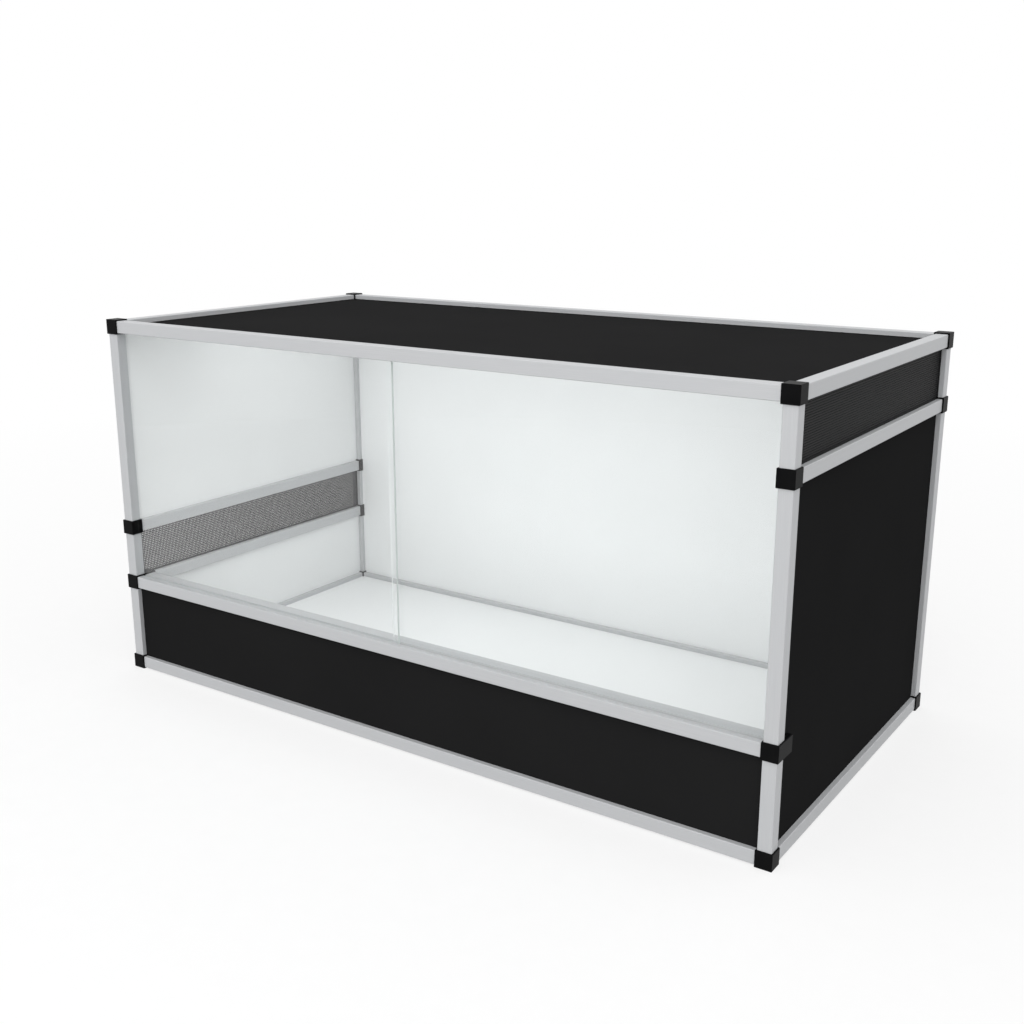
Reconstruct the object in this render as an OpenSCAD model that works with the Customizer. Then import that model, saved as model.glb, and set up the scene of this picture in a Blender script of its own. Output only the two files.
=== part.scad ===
// Reptile terrarium: a flat-pack cage of slotted aluminium tube, push-in corner connectors,
// slide-in boards, perforated side vents and two sliding glass panes.
// Millimetres. Origin at the middle of the footprint, front towards -Y, +Z up.

/* [Cage] */
// Overall width, across the connectors
cage_w = 1221.5; // [900:0.5:1500]
// Overall depth, across the connectors
cage_d = 621.5; // [450:0.5:800]
// Overall height, across the connectors
cage_h = 621.5; // [560:0.5:900]
// Height of the apron below the doors, from connector to connector
apron_h = 125; // [90:0.5:160]
// Height of each side vent, from connector to connector
vent_h = 75; // [60:0.5:100]

/* [Tube] */
// Width of the square tube
tube = 20; // [19:0.5:24]
// Wall of the tube
tube_wall = 1.5; // [1:0.1:2]
// Radius of the tube's long edges
tube_r = 1.25; // [1:0.25:3]
// Depth of the door sill, a wider tube of the same height
sill_d = 40; // [36:1:50]
// Web around a groove or recess inside a tube
web = 1.2; // [0.8:0.1:1.4]

/* [Connectors] */
// How far a connector stands proud of the tubes' faces
proud = 2.25; // [0.5:0.25:3]
// Length of a peg inside its tube
peg_l = 30; // [15:1:40]
// Clearance around a peg's ribs
peg_fit = 0.1; // [0.05:0.05:0.3]
// Height of a peg's ribs
rib_h = 0.5; // [0.3:0.1:0.8]
// Length of one rib along the peg
rib_l = 2.5; // [1.5:0.5:4]
// Number of ribs on a peg
rib_n = 3; // [2:1:4]
// Chamfer on a connector's edges
edge_c = 0.8; // [0.4:0.1:1.5]

/* [Boards] */
// Thickness of the boards
board_t = 4; // [3:0.25:4.5]
// Clearance on each side of a board in its groove
board_fit = 0.15; // [0.1:0.05:0.3]
// Depth of a groove
groove_d = 6; // [5.5:0.25:6.5]
// How far a board reaches into its grooves
grip = 5; // [3:0.25:5.25]
// Clearance where a board is notched round a connector
notch_fit = 0.3; // [0.2:0.1:1]

/* [Vents] */
// Thickness of a vent's perforated field
vent_t = 1.6; // [1:0.2:2.4]
// Width of a vent's thick rim
vent_rim = 7; // [6:0.5:10]
// Width across a vent hole's corners
hole_w = 11; // [8:0.5:12]
// Bar left between two vent holes
hole_bar = 5; // [4:0.5:8]

/* [Doors] */
// Thickness of the glass
glass_t = 4; // [3:0.25:4.5]
// Clearance on each side of a pane in its slot
glass_fit = 0.2; // [0.15:0.05:0.4]
// Wall between and beside the slots of a track
track_wall = 1; // [0.8:0.1:1.2]
// Thickness of a track's base
track_base = 0.8; // [0.6:0.1:1]
// Depth of the slots in the sill track
sill_slot = 3; // [2:0.25:3.5]
// Depth of the slots in the top track
top_slot = 5; // [4.5:0.25:5.25]
// Gap under a pane, and at its stops
pane_gap = 0.3; // [0.2:0.1:0.6]
// How far a pane reaches into the top track when it is down
pane_grip = 2; // [1.5:0.1:2]
// Place of the front pane's free edge, from the middle of the cage
meet_x = -2.5; // [-100:0.5:100]
// Overlap of the two panes when the doors are closed
overlap = 12; // [8:0.5:60]

/* [Hidden] */

// Colours
silver = [0.77, 0.78, 0.79];
black = [0.12, 0.12, 0.13];
board_black = [0.16, 0.16, 0.16];
vent_black = [0.22, 0.22, 0.23];
track_grey = [0.8, 0.81, 0.82];
glass_tint = [0.8, 0.9, 0.88, 0.35];

// Ways along an axis
left = -1;
right = 1;
front = -1;
rear = 1;
down = -1;
up = 1;

// Connectors and the centre lines of the tubes
conn = tube + 2 * proud;
conn_sill_d = sill_d + 2 * proud;
tube_x = cage_w / 2 - conn / 2;
tube_y = cage_d / 2 - conn / 2;
z_bottom = conn / 2;
z_sill = z_bottom + conn + apron_h;
z_left_high = z_sill + conn + vent_h;
z_top = cage_h - conn / 2;
z_right_mid = z_top - conn - vent_h;
sill_y = -tube_y + (sill_d - tube) / 2;
bore = tube - 2 * tube_wall;
peg_root = conn / 4;
rib_pitch = (peg_l - rib_l) / (rib_n - 0.5);
through = 1;

// Grooves: where they open on a tube's face, and the space that their webs take
groove_w = board_t + 2 * board_fit;
housing_w = groove_w + 2 * web;
housing_d = groove_d + web;

// Door tracks: both slots lie side by side, flush with the top rail's rear face
slot_w = glass_t + 2 * glass_fit;
track_w = 2 * slot_w + 3 * track_wall;
track_y = -tube_y + tube / 2 - track_w;
sill_track_h = sill_slot + track_base;
top_track_h = top_slot + track_base;
pane_z = z_sill + tube / 2 - sill_slot + pane_gap;
pane_h = z_top - tube / 2 + pane_grip - pane_z;
pane_stop = cage_w / 2 - conn - pane_gap;

// Vent holes
hole_pitch = hole_w + hole_bar;

// Pushes a section along an axis. An x section is drawn in (y, z), a y section in (x, z)
// and a z section in (x, y), each at its true place.
module along(axis, from, length) {
    if (axis == "x") {
        translate([from, 0, 0]) rotate([90, 0, 90]) linear_extrude(length) children();
    }
    if (axis == "y") {
        translate([0, from + length, 0]) rotate([90, 0, 0]) linear_extrude(length) children();
    }
    if (axis == "z") {
        translate([0, 0, from]) linear_extrude(length) children();
    }
}

// A rectangle with round corners
module round_rect(size, r) {
    square([size[0] - 2 * r, size[1]], center = true);
    square([size[0], size[1] - 2 * r], center = true);
    for (a = [-1, 1], b = [-1, 1]) {
        translate([a * (size[0] / 2 - r), b * (size[1] / 2 - r)]) circle(r, $fn = 16);
    }
}

// A rectangle with chamfered corners
module cut_rect(size, c) {
    a = size[0] / 2;
    b = size[1] / 2;
    polygon([[a - c, b], [-a + c, b], [-a, b - c], [-a, -b + c],
             [-a + c, -b], [a - c, -b], [a, -b + c], [a, b - c]]);
}

// A block reaching inwards from a tube's face; way is the direction that the face looks
module face_block(way, width, depth) {
    rotate(atan2(way[1], way[0])) translate([tube / 2, 0]) square([2 * depth, width], center = true);
}

// Hollow of a square tube whose faces along the given ways are grooved; fit shrinks it for a peg
module tube_hollow(ways, fit = 0) {
    difference() {
        square(bore - 2 * fit, center = true);
        for (way = ways) {
            face_block(way, housing_w + 2 * fit, housing_d + fit);
        }
    }
}

// Section of the square tube
module tube_section(ways) {
    difference() {
        round_rect([tube, tube], tube_r);
        tube_hollow(ways);
        for (way = ways) {
            face_block(way, groove_w, groove_d);
        }
    }
}

// Rebate that seats the top track in the lower rear edge of the top front rail
module top_rebate(grow = 0) {
    translate([tube / 2 - track_w - grow, -tube / 2 - through]) {
        square([track_w + through + grow, top_track_h + through + grow]);
    }
}

module top_front_hollow(fit = 0) {
    difference() {
        tube_hollow([[rear, 0]], fit);
        top_rebate(web + fit);
    }
}

module top_front_section() {
    difference() {
        round_rect([tube, tube], tube_r);
        top_front_hollow();
        face_block([rear, 0], groove_w, groove_d);
        top_rebate();
    }
}

// Recess that seats the sill track in the top of the sill
module sill_recess(grow = 0) {
    translate([tube / 2 - track_w - grow, tube / 2 - sill_track_h - grow]) {
        square([track_w + 2 * grow, sill_track_h + through + grow]);
    }
}

// The sill's two hollows: one behind the apron's line, one at the rear
module sill_hollow(fit = 0) {
    difference() {
        tube_hollow([[0, down]], fit);
        sill_recess(web + fit);
    }
    rear_w = sill_d - tube - web - 2 * fit;
    translate([tube / 2 + web / 2 + fit, -bore / 2 + fit]) {
        square([rear_w + web / 2 - tube_wall, bore - 2 * fit]);
    }
}

module sill_section() {
    difference() {
        translate([(sill_d - tube) / 2, 0]) round_rect([sill_d, tube], tube_r);
        sill_hollow();
        face_block([0, down], groove_w, groove_d);
        sill_recess();
    }
}

// Ways that the grooves of each kind of tube face
function post_ways(side, end, low) = concat(
    [[0, -end]],
    end == rear || low ? [[-side, 0]] : []
);
function depth_ways(side, level) = level == 0 ? [[0, up], [0, down]] : [[-side, 0], [0, -level]];
function width_ways(end, level) = [[-end, 0], [0, -level]];

// A ribbed peg: it runs from inside the core at base, way +1 or -1 along the axis.
// The children draw the tube's hollow, shrunk by $fit.
module peg(axis, base, way) {
    start = base - (way > 0 ? peg_root : peg_l);
    along(axis, start, peg_l + peg_root) {
        $fit = peg_fit + rib_h;
        children();
    }
    for (i = [0:rib_n - 1]) {
        near = i * rib_pitch;
        along(axis, base + (way > 0 ? near : -near - rib_l), rib_l) {
            $fit = peg_fit;
            children();
        }
    }
}

// A connector's core: its centre and its three sizes, grown by fit where a board passes round it
module core(at, size, c = 0, fit = 0) {
    full = size + 2 * fit * [1, 1, 1];
    translate(at) {
        if (c > 0) {
            intersection() {
                along("x", -full[0] / 2, full[0]) cut_rect([full[1], full[2]], c);
                along("y", -full[1] / 2, full[1]) cut_rect([full[0], full[2]], c);
                along("z", -full[2] / 2, full[2]) cut_rect([full[0], full[1]], c);
            }
        } else {
            cube(full, center = true);
        }
    }
}

function cube_core() = [conn, conn, conn];
function sill_core() = [conn, conn_sill_d, conn];
function sill_core_at(side) = [side * tube_x, sill_y, z_sill];

// Room for every connector, cut out of whatever passes between them
module connector_room() {
    for (side = [left, right]) {
        for (end = [front, rear], z = [z_bottom, z_top]) {
            core([side * tube_x, end * tube_y, z], cube_core(), fit = notch_fit);
        }
        core(sill_core_at(side), sill_core(), fit = notch_fit);
    }
    core([-tube_x, tube_y, z_sill], cube_core(), fit = notch_fit);
    for (end = [front, rear]) {
        core([-tube_x, end * tube_y, z_left_high], cube_core(), fit = notch_fit);
        core([tube_x, end * tube_y, z_right_mid], cube_core(), fit = notch_fit);
    }
}

// Pegs of a connector, into the tubes beside it
module post_peg(side, end, z, way, low = false) {
    peg("z", z + way * conn / 2, way) {
        translate([side * tube_x, end * tube_y]) tube_hollow(post_ways(side, end, low), $fit);
    }
}

module depth_peg(side, end, z, level, base) {
    peg("y", base, -end) {
        translate([side * tube_x, z]) tube_hollow(depth_ways(side, level), $fit);
    }
}

module width_peg(side, end, level) {
    peg("x", side * (tube_x - conn / 2), -side) {
        translate([end * tube_y, level == up ? z_top : z_bottom]) {
            if (end == front && level == up) {
                top_front_hollow($fit);
            } else {
                tube_hollow(width_ways(end, level), $fit);
            }
        }
    }
}

// A three-way corner
module corner(side, end, level) {
    z = level == up ? z_top : z_bottom;
    color(black) {
        core([side * tube_x, end * tube_y, z], cube_core(), edge_c);
        post_peg(side, end, z, -level, low = level == down);
        depth_peg(side, end, z, level, end * (tube_y - conn / 2));
        width_peg(side, end, level);
    }
}

// A three-way joint in a side wall: post above, post below, rail towards the other end
module side_joint(side, end, z) {
    color(black) {
        core([side * tube_x, end * tube_y, z], cube_core(), edge_c);
        post_peg(side, end, z, up);
        post_peg(side, end, z, down);
        depth_peg(side, end, z, 0, end * (tube_y - conn / 2));
    }
}

// A deep joint at the end of the sill; the left one also carries the lower side rail
module sill_joint(side, with_rail) {
    color(black) {
        core(sill_core_at(side), sill_core(), edge_c);
        post_peg(side, front, z_sill, up);
        post_peg(side, front, z_sill, down, low = true);
        peg("x", side * (tube_x - conn / 2), -side) {
            translate([-tube_y, z_sill]) sill_hollow($fit);
        }
        if (with_rail) {
            depth_peg(side, front, z_sill, 0, sill_y + conn_sill_d / 2);
        }
    }
}

// Tubes, each cut to the gap between its two connectors
module post(side, end, z_low, z_high, low = false) {
    color(silver) along("z", z_low + conn / 2, z_high - z_low - conn) {
        translate([side * tube_x, end * tube_y]) tube_section(post_ways(side, end, low));
    }
}

module width_rail(end, level) {
    color(silver) along("x", -tube_x + conn / 2, 2 * tube_x - conn) {
        translate([end * tube_y, level == up ? z_top : z_bottom]) {
            if (end == front && level == up) {
                top_front_section();
            } else {
                tube_section(width_ways(end, level));
            }
        }
    }
}

module depth_rail(side, z, level, from = -tube_y + conn / 2) {
    color(silver) along("y", from, tube_y - conn / 2 - from) {
        translate([side * tube_x, z]) tube_section(depth_ways(side, level));
    }
}

module rail_sill() {
    color(silver) along("x", -tube_x + conn / 2, 2 * tube_x - conn) {
        translate([-tube_y, z_sill]) sill_section();
    }
}

// Boards, in grooves on all sides. Two centre lines of tubes bound each of the two directions.
module board_across(z) {
    size = 2 * [tube_x - tube / 2 + grip, tube_y - tube / 2 + grip];
    color(board_black) difference() {
        along("z", z - board_t / 2, board_t) square(size, center = true);
        connector_room();
    }
}

module board_facing(end, z_low, z_high) {
    half = tube_x - tube / 2 + grip;
    color(board_black) difference() {
        along("y", end * tube_y - board_t / 2, board_t) {
            translate([-half, z_low + tube / 2 - grip]) {
                square([2 * half, z_high - z_low - tube + 2 * grip]);
            }
        }
        connector_room();
    }
}

module side_blank(z_low, z_high, inset = 0) {
    half = tube_y - tube / 2 + grip - inset;
    edge = tube / 2 - grip + inset;
    translate([-half, z_low + edge]) square([2 * half, z_high - z_low - 2 * edge]);
}

module board_side(side, z_low, z_high) {
    color(board_black) difference() {
        along("x", side * tube_x - board_t / 2, board_t) side_blank(z_low, z_high);
        connector_room();
    }
}

// Staggered rows of diamond holes that fill a field of the given length and height
module hole_field(length, height) {
    step = hole_pitch / 2;
    rows = 2 * floor((height - hole_w) / hole_pitch) + 1;
    for (row = [0:rows - 1]) {
        y = (row - (rows - 1) / 2) * step;
        odd = row % 2;
        count = floor((length - hole_w) / hole_pitch) + 1 - odd;
        for (i = [0:count - 1]) {
            translate([(i - (count - 1) / 2) * hole_pitch, y]) circle(d = hole_w, $fn = 4);
        }
    }
}

// A perforated vent: a thin field in a rim as thick as the boards
module side_vent(side, z_low, z_high) {
    field_l = 2 * (tube_y - tube / 2 + grip - vent_rim);
    field_h = z_high - z_low - tube + 2 * grip - 2 * vent_rim;
    color(vent_black) difference() {
        union() {
            along("x", side * tube_x - vent_t / 2, vent_t) difference() {
                side_blank(z_low, z_high);
                translate([0, (z_low + z_high) / 2]) hole_field(field_l, field_h);
            }
            along("x", side * tube_x - board_t / 2, board_t) difference() {
                side_blank(z_low, z_high);
                side_blank(z_low, z_high, vent_rim);
            }
        }
        connector_room();
    }
}

// Door tracks: a strip with two slots, drawn with its back at y = 0 and its slots opening upwards
module track_section(slot_d) {
    difference() {
        square([track_w, slot_d + track_base]);
        for (i = [0, 1]) {
            translate([track_wall + i * (slot_w + track_wall), track_base]) square([slot_w, slot_d + through]);
        }
    }
}

module track_sill() {
    color(track_grey) along("x", -tube_x + conn / 2, 2 * tube_x - conn) {
        translate([track_y, z_sill + tube / 2 - sill_track_h]) track_section(sill_slot);
    }
}

module track_top() {
    color(track_grey) along("x", -tube_x + conn / 2, 2 * tube_x - conn) {
        translate([track_y, z_top - tube / 2 + top_track_h]) mirror([0, 1]) track_section(top_slot);
    }
}

// A pane in slot 0, the front one, or slot 1
module pane(slot, x_low, x_high) {
    y = track_y + track_wall + glass_fit + slot * (slot_w + track_wall);
    color(glass_tint) translate([x_low, y, pane_z]) cube([x_high - x_low, glass_t, pane_h]);
}

module corner_bottom_front_left() { corner(left, front, down); }
module corner_bottom_front_right() { corner(right, front, down); }
module corner_bottom_rear_left() { corner(left, rear, down); }
module corner_bottom_rear_right() { corner(right, rear, down); }
module corner_top_front_left() { corner(left, front, up); }
module corner_top_front_right() { corner(right, front, up); }
module corner_top_rear_left() { corner(left, rear, up); }
module corner_top_rear_right() { corner(right, rear, up); }
module joint_sill_left() { sill_joint(left, true); }
module joint_sill_right() { sill_joint(right, false); }
module joint_left_low_rear() { side_joint(left, rear, z_sill); }
module joint_left_high_front() { side_joint(left, front, z_left_high); }
module joint_left_high_rear() { side_joint(left, rear, z_left_high); }
module joint_right_front() { side_joint(right, front, z_right_mid); }
module joint_right_rear() { side_joint(right, rear, z_right_mid); }
module post_front_left_low() { post(left, front, z_bottom, z_sill, low = true); }
module post_front_left_vent() { post(left, front, z_sill, z_left_high); }
module post_front_left_high() { post(left, front, z_left_high, z_top); }
module post_front_right_low() { post(right, front, z_bottom, z_sill, low = true); }
module post_front_right_mid() { post(right, front, z_sill, z_right_mid); }
module post_front_right_vent() { post(right, front, z_right_mid, z_top); }
module post_rear_left_low() { post(left, rear, z_bottom, z_sill); }
module post_rear_left_vent() { post(left, rear, z_sill, z_left_high); }
module post_rear_left_high() { post(left, rear, z_left_high, z_top); }
module post_rear_right_low() { post(right, rear, z_bottom, z_right_mid); }
module post_rear_right_vent() { post(right, rear, z_right_mid, z_top); }
module rail_bottom_front() { width_rail(front, down); }
module rail_bottom_rear() { width_rail(rear, down); }
module rail_bottom_left() { depth_rail(left, z_bottom, down); }
module rail_bottom_right() { depth_rail(right, z_bottom, down); }
module rail_top_front() { width_rail(front, up); }
module rail_top_rear() { width_rail(rear, up); }
module rail_top_left() { depth_rail(left, z_top, up); }
module rail_top_right() { depth_rail(right, z_top, up); }
module rail_left_low() { depth_rail(left, z_sill, 0, sill_y + conn_sill_d / 2); }
module rail_left_high() { depth_rail(left, z_left_high, 0); }
module rail_right_mid() { depth_rail(right, z_right_mid, 0); }
module board_top() { board_across(z_top); }
module board_floor() { board_across(z_bottom); }
module board_rear() { board_facing(rear, z_bottom, z_top); }
module board_apron() { board_facing(front, z_bottom, z_sill); }
module board_right() { board_side(right, z_bottom, z_right_mid); }
module board_left_low() { board_side(left, z_bottom, z_sill); }
module board_left_high() { board_side(left, z_left_high, z_top); }
module vent_left() { side_vent(left, z_sill, z_left_high); }
module vent_right() { side_vent(right, z_right_mid, z_top); }
module glass_front_pane() { pane(0, -pane_stop, meet_x); }
module glass_rear_pane() { pane(1, meet_x - overlap, pane_stop); }

corner_bottom_front_left();
corner_bottom_front_right();
corner_bottom_rear_left();
corner_bottom_rear_right();
corner_top_front_left();
corner_top_front_right();
corner_top_rear_left();
corner_top_rear_right();
joint_sill_left();
joint_sill_right();
joint_left_low_rear();
joint_left_high_front();
joint_left_high_rear();
joint_right_front();
joint_right_rear();
post_front_left_low();
post_front_left_vent();
post_front_left_high();
post_front_right_low();
post_front_right_mid();
post_front_right_vent();
post_rear_left_low();
post_rear_left_vent();
post_rear_left_high();
post_rear_right_low();
post_rear_right_vent();
rail_bottom_front();
rail_bottom_rear();
rail_bottom_left();
rail_bottom_right();
rail_top_front();
rail_top_rear();
rail_top_left();
rail_top_right();
rail_sill();
rail_left_low();
rail_left_high();
rail_right_mid();
board_top();
board_floor();
board_rear();
board_right();
board_left_low();
board_left_high();
board_apron();
vent_left();
vent_right();
track_sill();
track_top();
glass_front_pane();
glass_rear_pane();
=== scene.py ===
"""Looks of the reptile terrarium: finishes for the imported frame, perforated vents, camera and light."""

import math

import bpy
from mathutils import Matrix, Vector


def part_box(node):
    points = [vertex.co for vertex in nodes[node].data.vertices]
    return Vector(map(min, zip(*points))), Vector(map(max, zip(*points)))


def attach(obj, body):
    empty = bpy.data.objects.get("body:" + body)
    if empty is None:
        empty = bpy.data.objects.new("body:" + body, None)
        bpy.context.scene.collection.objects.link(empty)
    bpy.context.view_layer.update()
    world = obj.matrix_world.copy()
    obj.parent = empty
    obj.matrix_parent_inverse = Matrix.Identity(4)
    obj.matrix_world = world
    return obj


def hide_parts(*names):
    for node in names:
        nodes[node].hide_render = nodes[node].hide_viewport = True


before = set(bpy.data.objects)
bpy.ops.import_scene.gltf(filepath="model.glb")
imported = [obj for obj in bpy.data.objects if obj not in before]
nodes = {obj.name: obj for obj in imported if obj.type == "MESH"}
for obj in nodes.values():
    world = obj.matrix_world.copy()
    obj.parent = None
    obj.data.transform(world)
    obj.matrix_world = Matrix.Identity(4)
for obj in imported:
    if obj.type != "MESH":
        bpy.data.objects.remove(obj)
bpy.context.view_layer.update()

# ---------------------------------------------------------------- sizes, in metres

BOARD_T = 0.004           # thickness of the boards and of a vent's rim
VENT_T = 0.0012           # thickness of a vent's perforated field
VENT_RIM = 0.006          # width of a vent's rim, which its groove hides
RIM_BEVEL = 0.0004        # rounding of the rim's edges
NOTCH_FIT = 0.0003        # clearance of a vent round a connector
HOLE_PITCH = 0.0033       # distance between the middles of two holes
HOLE_R = 0.00113          # radius of a hole
HOLE_SIDES = 8            # corners of a hole, one for each point round its cell
MARGIN_SHARE = 0.1        # least solid margin beyond the grid of holes on both sides together, in pitches

# ---------------------------------------------------------------- colours, as linear red, green and blue

ALUMINIUM_DARK = (0.475, 0.482, 0.494)
ALUMINIUM_LIGHT = (0.518, 0.525, 0.534)
ALUMINIUM_CLOUD = (0.485, 0.497, 0.513)
PLASTIC_DARK = (0.0028, 0.0028, 0.0031)
PLASTIC_LIGHT = (0.0042, 0.0042, 0.0045)
BOARD_BLACK_DARK = (0.0130, 0.0130, 0.0133)
BOARD_BLACK_LIGHT = (0.0145, 0.0145, 0.0148)
BOARD_WHITE_DARK = (0.80, 0.81, 0.812)
BOARD_WHITE_LIGHT = (0.82, 0.83, 0.832)
BOARD_CORE = (0.32, 0.32, 0.31)
COAT_DARK = (0.008, 0.008, 0.0085)
COAT_LIGHT = (0.013, 0.013, 0.0135)
TRACK_DARK = (0.50, 0.51, 0.518)
TRACK_LIGHT = (0.54, 0.548, 0.553)
GROUND_EDGE_DARK = (0.66, 0.71, 0.695)
GROUND_EDGE_LIGHT = (0.71, 0.76, 0.745)
GLASS_TINT = (0.986, 0.996, 0.994, 1)
CLEAR_TINT = (0.985, 0.992, 0.99, 1)
FLOOR_DARK = (0.79, 0.79, 0.79)
FLOOR_LIGHT = (0.81, 0.81, 0.81)
FLOOR_BOUNCE = (0.4, 0.4, 0.4)   # the floor as the object's surfaces see it
WHITE = (1, 1, 1, 1)

# ---------------------------------------------------------------- node trees

NOISE_MIDDLE = (0.3, 0.7)        # the part of a noise's range in which nearly all of it lies
LEAST_COSINE = 0.5               # a face looks some way if it is turned from it by less than 60 degrees


def add_node(tree, kind, settings=None, sockets=None):
    """A shader node; settings are its properties, and sockets are values or the outputs to link."""
    made = tree.nodes.new(kind)
    for name, value in (settings or {}).items():
        setattr(made, name, value)
    for name, value in (sockets or {}).items():
        if isinstance(value, bpy.types.NodeSocket):
            tree.links.new(value, made.inputs[name])
        else:
            made.inputs[name].default_value = value
    return made


def new_material(name):
    """An empty material with its output node."""
    material = bpy.data.materials.new(name)
    material.use_nodes = True
    tree = material.node_tree
    tree.nodes.clear()
    return material, tree, tree.nodes.new("ShaderNodeOutputMaterial")


def noise(tree, scale, stretch=(1, 1, 1), detail=3.0):
    """Noise on the piece's own coordinates; stretch scales them axis by axis first."""
    coords = add_node(tree, "ShaderNodeTexCoord").outputs["Object"]
    mapped = add_node(tree, "ShaderNodeMapping", None, {"Vector": coords, "Scale": stretch})
    sockets = {"Vector": mapped.outputs["Vector"], "Scale": scale, "Detail": detail}
    return add_node(tree, "ShaderNodeTexNoise", None, sockets).outputs["Fac"]


def spread(tree, value, low, high):
    """The middle of a noise, spread from low to high."""
    bottom, top = NOISE_MIDDLE
    sockets = {"Value": value, "From Min": bottom, "From Max": top, "To Min": low, "To Max": high}
    return add_node(tree, "ShaderNodeMapRange", None, sockets).outputs["Result"]


def mix_colour(tree, factor, a, b):
    """Colour a where the factor is 0, and b where it is 1."""
    made = add_node(tree, "ShaderNodeMix", {"data_type": "RGBA"}, {"Factor": factor})
    for socket, colour in ((made.inputs[6], a), (made.inputs[7], b)):
        if isinstance(colour, bpy.types.NodeSocket):
            tree.links.new(colour, socket)
        else:
            socket.default_value = (*colour, 1)
    return made.outputs[2]


def mix_shader(tree, factor, a, b):
    """Shader a where the factor is 0, and b where it is 1."""
    return add_node(tree, "ShaderNodeMixShader", None, {0: factor, 1: a.outputs[0], 2: b.outputs[0]})


def bump(tree, height, strength, distance):
    """A normal that follows the height; distance is in metres."""
    sockets = {"Height": height, "Strength": strength, "Distance": distance}
    return add_node(tree, "ShaderNodeBump", None, sockets).outputs["Normal"]


def arithmetic(tree, operation, *values):
    """One step of arithmetic on values or outputs."""
    return add_node(tree, "ShaderNodeMath", {"operation": operation}, dict(enumerate(values))).outputs[0]


def facing(tree, way):
    """1 where a face looks the given way, else 0. One that a ray meets from within is turned back first."""
    geometry = add_node(tree, "ShaderNodeNewGeometry").outputs
    sockets = {0: geometry["True Normal"], 1: way}
    along = add_node(tree, "ShaderNodeVectorMath", {"operation": "DOT_PRODUCT"}, sockets).outputs["Value"]
    sign = arithmetic(tree, "MULTIPLY_ADD", geometry["Backfacing"], -2, 1)
    return arithmetic(tree, "GREATER_THAN", arithmetic(tree, "MULTIPLY", along, sign), LEAST_COSINE)


def any_ray(tree, *kinds):
    """1 for the given kinds of ray, else 0."""
    rays = add_node(tree, "ShaderNodeLightPath").outputs
    total = rays[kinds[0]]
    for kind in kinds[1:]:
        total = arithmetic(tree, "MAXIMUM", total, rays[kind])
    return total


# ---------------------------------------------------------------- materials

DIE_LINE_STRETCH = 0.012         # how wide a die line is for its length, on a tube
TRACK_LINE_STRETCH = 0.01        # the same on a track


def aluminium(axis):
    """Satin anodised extrusion, with die lines along one axis."""
    material, tree, output = new_material(f"anodised_aluminium_{'xyz'[axis]}")
    along = [1.0, 1.0, 1.0]
    along[axis] = DIE_LINE_STRETCH
    lines = noise(tree, scale=1500, stretch=along, detail=4.0)
    cloud = noise(tree, scale=9, detail=2.0)
    shade = mix_colour(tree, spread(tree, lines, 0, 1), ALUMINIUM_DARK, ALUMINIUM_LIGHT)
    shade = mix_colour(tree, spread(tree, cloud, 0, 0.35), shade, ALUMINIUM_CLOUD)
    surface = add_node(tree, "ShaderNodeBsdfPrincipled", None, {
        "Base Color": shade,
        "Metallic": 0.15,
        "Roughness": spread(tree, lines, 0.42, 0.54),
        "Specular IOR Level": 0.25,
        "Normal": bump(tree, lines, strength=0.12, distance=0.00015),
    })
    tree.links.new(surface.outputs[0], output.inputs["Surface"])
    return material


def moulded_plastic():
    """Black injection-moulded connector, fine spark-eroded grain."""
    material, tree, output = new_material("moulded_black_plastic")
    grain = noise(tree, scale=2600, detail=2.0)
    patch = noise(tree, scale=60)
    shade = mix_colour(tree, spread(tree, patch, 0, 1), PLASTIC_DARK, PLASTIC_LIGHT)
    surface = add_node(tree, "ShaderNodeBsdfPrincipled", None, {
        "Base Color": shade,
        "Roughness": spread(tree, grain, 0.38, 0.5),
        "Specular IOR Level": 0.045,
        "Normal": bump(tree, grain, strength=0.25, distance=0.00005),
    })
    tree.links.new(surface.outputs[0], output.inputs["Surface"])
    return material


def coated_board(name, outward):
    """Rigid board: matt black on the face that looks outward, white on the other, grey core at its edges."""
    material, tree, output = new_material(f"board_{name}")
    inward = tuple(-a for a in outward)
    peel = noise(tree, scale=900, detail=2.0)
    cloud = noise(tree, scale=5, detail=2.0)
    tone = spread(tree, cloud, 0, 1)
    black = mix_colour(tree, tone, BOARD_BLACK_DARK, BOARD_BLACK_LIGHT)
    white = mix_colour(tree, tone, BOARD_WHITE_DARK, BOARD_WHITE_LIGHT)
    shade = mix_colour(tree, facing(tree, outward), BOARD_CORE, black)
    shade = mix_colour(tree, facing(tree, inward), shade, white)
    surface = add_node(tree, "ShaderNodeBsdfPrincipled", None, {
        "Base Color": shade,
        "Roughness": spread(tree, peel, 0.72, 0.85),
        "Specular IOR Level": 0.004,
        "Normal": bump(tree, peel, strength=0.06, distance=0.0001),
    })
    tree.links.new(surface.outputs[0], output.inputs["Surface"])
    return material


def powder_coat():
    """Matt black powder coat of the perforated sheets."""
    material, tree, output = new_material("black_powder_coat")
    grit = noise(tree, scale=3200, detail=2.0)
    shade = mix_colour(tree, spread(tree, grit, 0, 1), COAT_DARK, COAT_LIGHT)
    surface = add_node(tree, "ShaderNodeBsdfPrincipled", None, {
        "Base Color": shade,
        "Roughness": spread(tree, grit, 0.5, 0.65),
        "Specular IOR Level": 0.12,
        "Normal": bump(tree, grit, strength=0.3, distance=0.00004),
    })
    tree.links.new(surface.outputs[0], output.inputs["Surface"])
    return material


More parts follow.
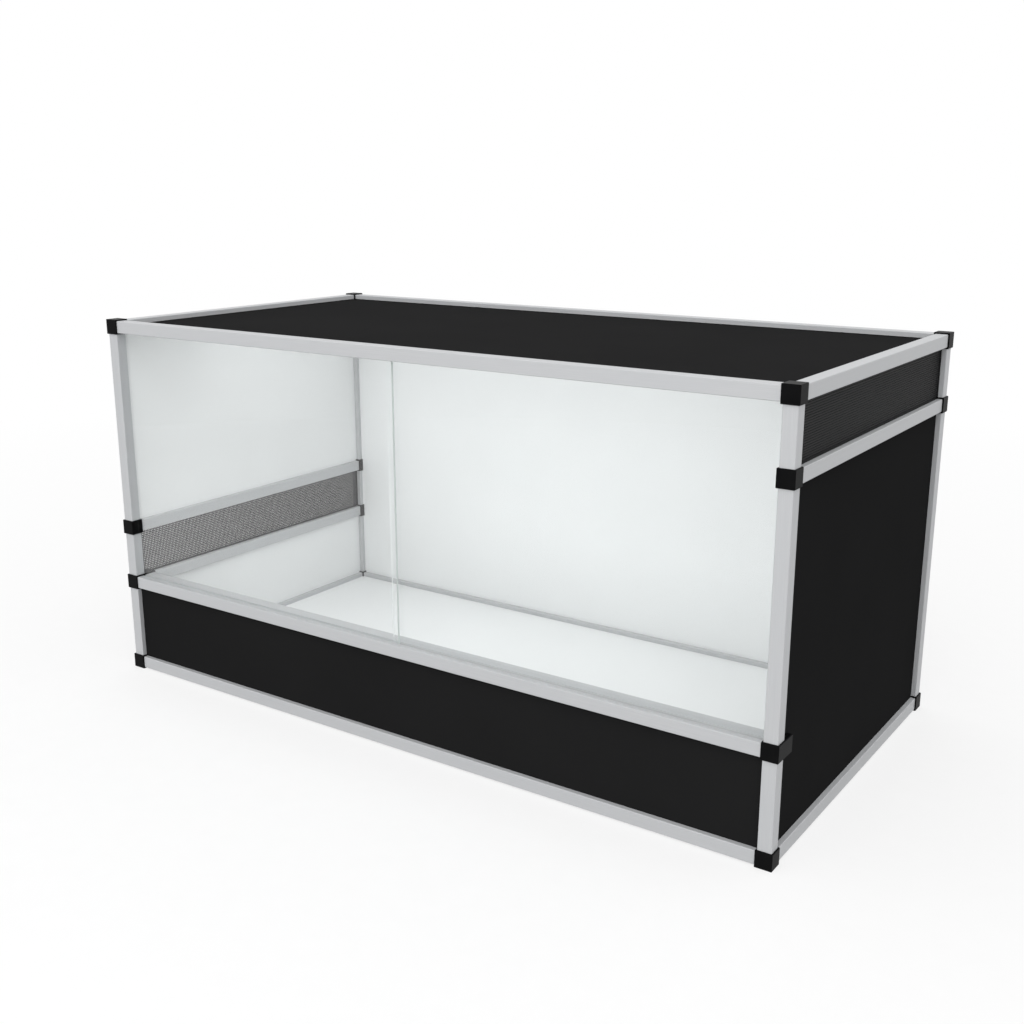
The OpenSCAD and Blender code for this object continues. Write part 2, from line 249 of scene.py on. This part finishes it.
def track_plastic():
    """Silver grey extruded track, drawn lines along it."""
    material, tree, output = new_material("track_plastic")
    lines = noise(tree, scale=1100, stretch=(TRACK_LINE_STRETCH, 1, 1))
    shade = mix_colour(tree, spread(tree, lines, 0, 1), TRACK_DARK, TRACK_LIGHT)
    surface = add_node(tree, "ShaderNodeBsdfPrincipled", None, {
        "Base Color": shade,
        "Roughness": spread(tree, lines, 0.36, 0.46),
        "Normal": bump(tree, lines, strength=0.08, distance=0.0001),
    })
    tree.links.new(surface.outputs[0], output.inputs["Surface"])
    return material


def float_glass():
    """Clear float glass with ground edges, all but the left one, which is clear.

    Shadow rays and diffuse rays pass straight through, so the lamps light what stands behind a pane.
    """
    material, tree, output = new_material("float_glass")
    haze = noise(tree, scale=3, detail=4.0)
    glass = add_node(tree, "ShaderNodeBsdfPrincipled", None, {
        "Base Color": GLASS_TINT,
        "Roughness": spread(tree, haze, 0.0, 0.012),
        "IOR": 1.5,
        "Transmission Weight": 1.0,
    })
    grinding = noise(tree, scale=1800, detail=2.0)
    ground = add_node(tree, "ShaderNodeBsdfPrincipled", None, {
        "Base Color": mix_colour(tree, spread(tree, grinding, 0, 1), GROUND_EDGE_DARK, GROUND_EDGE_LIGHT),
        "Roughness": 0.45,
        "Specular IOR Level": 0.15,
    })
    clear = add_node(tree, "ShaderNodeBsdfTransparent", None, {"Color": CLEAR_TINT})
    passing = any_ray(tree, "Is Shadow Ray", "Is Diffuse Ray")
    pane = mix_shader(tree, passing, glass, clear)
    edge = mix_shader(tree, facing(tree, (-1, 0, 0)), ground, clear)
    faces = arithmetic(tree, "ADD", facing(tree, (0, -1, 0)), facing(tree, (0, 1, 0)))
    whole = mix_shader(tree, faces, edge, pane)
    tree.links.new(whole.outputs[0], output.inputs["Surface"])
    return material


def give(piece, material):
    """Makes the material the piece's only one."""
    piece.data.materials.clear()
    piece.data.materials.append(material)


def long_axis(piece_name):
    """0, 1 or 2 for the axis along which a tube runs."""
    low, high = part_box(piece_name)
    size = high - low
    return max(range(3), key=lambda a: size[a])


BOARD_OUTWARD = {
    "board_top": (0, 0, 1),
    "board_floor": (0, 0, -1),
    "board_rear": (0, 1, 0),
    "board_right": (1, 0, 0),
    "board_left_low": (-1, 0, 0),
    "board_left_high": (-1, 0, 0),
    "board_apron": (0, -1, 0),
}


def dress_frame(coat):
    """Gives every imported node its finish; coat is that of the vents."""
    metal = [aluminium(axis) for axis in range(3)]
    plastic = moulded_plastic()
    track = track_plastic()
    glass = float_glass()
    for name, piece in nodes.items():
        kind = name.split("_")[0]
        if kind in ("post", "rail"):
            give(piece, metal[long_axis(name)])
        elif kind in ("corner", "joint"):
            give(piece, plastic)
        elif kind == "board":
            give(piece, coated_board(name.removeprefix("board_"), BOARD_OUTWARD[name]))
        elif kind == "vent":
            give(piece, coat)
        elif kind == "track":
            give(piece, track)
        else:
            give(piece, glass)


# ---------------------------------------------------------------- perforated vents


def box_faces(low, high):
    """Corners and faces of a box, faces outward."""
    points = [(x, y, z) for x in (low[0], high[0]) for y in (low[1], high[1]) for z in (low[2], high[2])]
    faces = [(0, 1, 3, 2), (4, 6, 7, 5), (0, 4, 5, 1), (2, 3, 7, 6), (0, 2, 6, 4), (1, 5, 7, 3)]
    return points, faces


def perforated_sheet(name, x, y_range, z_range):
    """A sheet in the plane X = x with a square grid of round holes and a solid margin, closed all round.

    Each hole lies in a square cell that shares its corners and the middles of its sides with its neighbours.
    """
    columns = int((y_range[1] - y_range[0]) / HOLE_PITCH - MARGIN_SHARE)
    rows = int((z_range[1] - z_range[0]) / HOLE_PITCH - MARGIN_SHARE)
    y0 = (y_range[0] + y_range[1] - columns * HOLE_PITCH) / 2
    z0 = (z_range[0] + z_range[1] - rows * HOLE_PITCH) / 2
    points = []
    faces = []
    known = {}

    def point(key, y, z, side):
        """The number of a corner on one side of the sheet, made once and then shared."""
        if (key, side) not in known:
            known[key, side] = len(points)
            points.append((x + side * VENT_T / 2, y, z))
        return known[key, side]

    def grid(i, j, side):
        """A point of the grid of half cells."""
        return point((i, j), y0 + i * HOLE_PITCH / 2, z0 + j * HOLE_PITCH / 2, side)

    def edge(i, j, side):
        """The sheet's edge beside a point on the rim of the grid."""
        y = {0: y_range[0], 2 * columns: y_range[1]}.get(i, y0 + i * HOLE_PITCH / 2)
        z = {0: z_range[0], 2 * rows: z_range[1]}.get(j, z0 + j * HOLE_PITCH / 2)
        return point(("edge", i, j), y, z, side)

    def hole(i, j, k, side):
        """Corner k of the hole in the cell round a grid point."""
        turn = 2 * math.pi * k / HOLE_SIDES
        y = y0 + i * HOLE_PITCH / 2 + HOLE_R * math.cos(turn)
        z = z0 + j * HOLE_PITCH / 2 + HOLE_R * math.sin(turn)
        return point(("hole", i, j, k), y, z, side)

    def flat_face(loop, side):
        """A face of the sheet's right side, or turned over for its left side."""
        faces.append(loop if side > 0 else loop[::-1])

    round_cell = [(1, 0), (1, 1), (0, 1), (-1, 1), (-1, 0), (-1, -1), (0, -1), (1, -1)]
    for i in range(1, 2 * columns, 2):
        for j in range(1, 2 * rows, 2):
            for k in range(HOLE_SIDES):
                n = (k + 1) % HOLE_SIDES
                (a, b), (c, d) = round_cell[k], round_cell[n]
                for side in (-1, 1):
                    outer = [grid(i + a, j + b, side), grid(i + c, j + d, side)]
                    flat_face([hole(i, j, k, side), *outer, hole(i, j, n, side)], side)
                faces.append([hole(i, j, k, 1), hole(i, j, n, 1), hole(i, j, n, -1), hole(i, j, k, -1)])

    rim = [(i, 0) for i in range(2 * columns)] + [(2 * columns, j) for j in range(2 * rows)]
    rim += [(i, 2 * rows) for i in range(2 * columns, 0, -1)] + [(0, j) for j in range(2 * rows, 0, -1)]
    for a, b in zip(rim, rim[1:] + rim[:1]):
        for side in (-1, 1):
            flat_face([grid(*a, side), edge(*a, side), edge(*b, side), grid(*b, side)], side)
        faces.append([edge(*a, 1), edge(*a, -1), edge(*b, -1), edge(*b, 1)])
    mesh = bpy.data.meshes.new(name)
    mesh.from_pydata(points, [], faces)
    mesh.update()
    return mesh


def free_length(tube, axis):
    """From one end of a tube to the other, less the clearance at each."""
    low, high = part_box(tube)
    return low[axis] + NOTCH_FIT, high[axis] - NOTCH_FIT


def vent(name, post, low_rail, high_rail, coat):
    """The vent's sheet and its rim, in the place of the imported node, between one front post and two rails."""
    low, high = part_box(name)
    x = (low.x + high.x) / 2
    half = BOARD_T / 2
    field_y = (low.y + VENT_RIM, high.y - VENT_RIM)
    field_z = (low.z + VENT_RIM, high.z - VENT_RIM)
    free_z = free_length(post, 2)
    side_z = (max(free_z[0], field_z[0]), min(free_z[1], field_z[1]))
    bars = [
        (*free_length(low_rail, 1), low.z, field_z[0]),
        (*free_length(high_rail, 1), field_z[1], high.z),
        (low.y, field_y[0], *side_z),
        (field_y[1], high.y, *side_z),
    ]
    sheet = bpy.data.objects.new(f"{name}_sheet", perforated_sheet(f"{name}_sheet", x, field_y, field_z))
    points, faces = [], []
    for y_low, y_high, z_low, z_high in bars:
        more, loops = box_faces((x - half, y_low, z_low), (x + half, y_high, z_high))
        faces += [[len(points) + k for k in loop] for loop in loops]
        points += more
    mesh = bpy.data.meshes.new(f"{name}_rim")
    mesh.from_pydata(points, [], faces)
    rim = bpy.data.objects.new(f"{name}_rim", mesh)
    for piece in (sheet, rim):
        bpy.context.scene.collection.objects.link(piece)
        give(piece, coat)
        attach(piece, "cage")
    bevel = rim.modifiers.new("edges", "BEVEL")
    bevel.width = RIM_BEVEL
    bevel.segments = 2
    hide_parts(name)


# ---------------------------------------------------------------- stage, camera, light

CAMERA_AT = (1.124, -1.6404, 0.8444)
CAMERA_YAW = 34.407       # degrees to the right of the object's front
CAMERA_PITCH = 15.013     # degrees below level
CAMERA_LENS = 43.36       # millimetres
SENSOR = 36               # millimetres

FLOOR_SIZE = 60.0
FLOOR_GLOW = 0.72         # share of the floor that stays white in the shade, near the object
FADE_FROM = 0.8           # distance at which that share starts to grow
FADE_TO = 3.0             # distance at which the floor is all white


def make_world():
    """A white surround, which is the backdrop, the reflections and the soft light from all sides."""
    world = bpy.data.worlds.new("studio")
    bpy.context.scene.world = world
    world.use_nodes = True
    tree = world.node_tree
    tree.nodes.clear()
    white = add_node(tree, "ShaderNodeBackground", None, {"Color": WHITE, "Strength": 1.0})
    output = tree.nodes.new("ShaderNodeOutputWorld")
    tree.links.new(white.outputs[0], output.inputs["Surface"])


def make_floor():
    """A pale floor that keeps the object's shadow and fades to white."""
    material, tree, output = new_material("studio_floor")
    seen = any_ray(tree, "Is Camera Ray", "Is Glossy Ray", "Is Transmission Ray")
    coords = add_node(tree, "ShaderNodeTexCoord").outputs["Object"]
    distance = add_node(tree, "ShaderNodeVectorMath", {"operation": "LENGTH"}, {0: coords}).outputs["Value"]
    glow = add_node(tree, "ShaderNodeMapRange", None, {
        "Value": distance,
        "From Min": FADE_FROM,
        "From Max": FADE_TO,
        "To Min": FLOOR_GLOW,
        "To Max": 1.0,
    }).outputs["Result"]
    grain = noise(tree, scale=30)
    pale = mix_colour(tree, spread(tree, grain, 0, 1), FLOOR_DARK, FLOOR_LIGHT)
    shade = mix_colour(tree, seen, FLOOR_BOUNCE, pale)
    paint = add_node(tree, "ShaderNodeBsdfDiffuse", None, {"Color": shade})
    white = add_node(tree, "ShaderNodeEmission", None, {"Color": WHITE, "Strength": 1.0})
    both = mix_shader(tree, arithmetic(tree, "MULTIPLY", seen, glow), paint, white)
    tree.links.new(both.outputs[0], output.inputs["Surface"])
    bpy.ops.mesh.primitive_plane_add(size=FLOOR_SIZE)
    floor = bpy.context.object
    floor.name = "floor"
    give(floor, material)


def make_camera():
    """The camera where the photograph's stood."""
    data = bpy.data.cameras.new("camera")
    data.sensor_width = SENSOR
    data.lens = CAMERA_LENS
    camera = bpy.data.objects.new("camera", data)
    camera.location = CAMERA_AT
    camera.rotation_euler = (math.radians(90 - CAMERA_PITCH), 0, math.radians(CAMERA_YAW))
    bpy.context.scene.collection.objects.link(camera)
    bpy.context.scene.camera = camera


LIT_POINT = (0, 0, 0.3)

# Name, place, lit point, width and height, spread in degrees, and watts. The last three stand inside and shine on
# the floor, the ceiling and the rear wall, because the photograph's flat light reaches every corner.
LAMPS = [
    ("low", (-0.4, -4.2, 0.9), LIT_POINT, (2.2, 2.2), 180, 43),
    ("high", (1.3, -2.7, 3.5), LIT_POINT, (2.4, 2.4), 180, 46),
    ("right", (3.4, -3.0, 1.1), LIT_POINT, (2.2, 2.2), 180, 12),
    ("cabin", (-0.03, 0.08, 0.59), (-0.03, 0.08, 0), (1.15, 0.38), 110, 0.52),
    ("ceiling", (-0.1, 0, 0.3), (-0.1, 0, 0.6), (0.9, 0.4), 80, 0.8),
    ("window", (0, -0.27, 0.36), (0, 0, 0.36), (1.15, 0.42), 100, 0.24),
]


def soft_box(name, at, target, size, spread_angle, power):
    """A lamp that lights surfaces and isn't mirrored by the glass."""
    data = bpy.data.lights.new(name, "AREA")
    data.shape = "RECTANGLE"
    data.size, data.size_y = size
    data.spread = math.radians(spread_angle)
    data.energy = power
    lamp = bpy.data.objects.new(name, data)
    lamp.location = at
    lamp.rotation_euler = (Vector(target) - Vector(at)).to_track_quat("-Z", "Y").to_euler()
    lamp.visible_camera = False
    lamp.visible_glossy = False
    lamp.visible_transmission = False
    bpy.context.scene.collection.objects.link(lamp)


make_camera()
coat = powder_coat()
dress_frame(coat)
vent("vent_left", "post_front_left_vent", "rail_left_low", "rail_left_high", coat)
vent("vent_right", "post_front_right_vent", "rail_right_mid", "rail_top_right", coat)
make_world()
make_floor()
for lamp in LAMPS:
    soft_box(*lamp)

bpy.context.scene.view_settings.view_transform = "Standard"
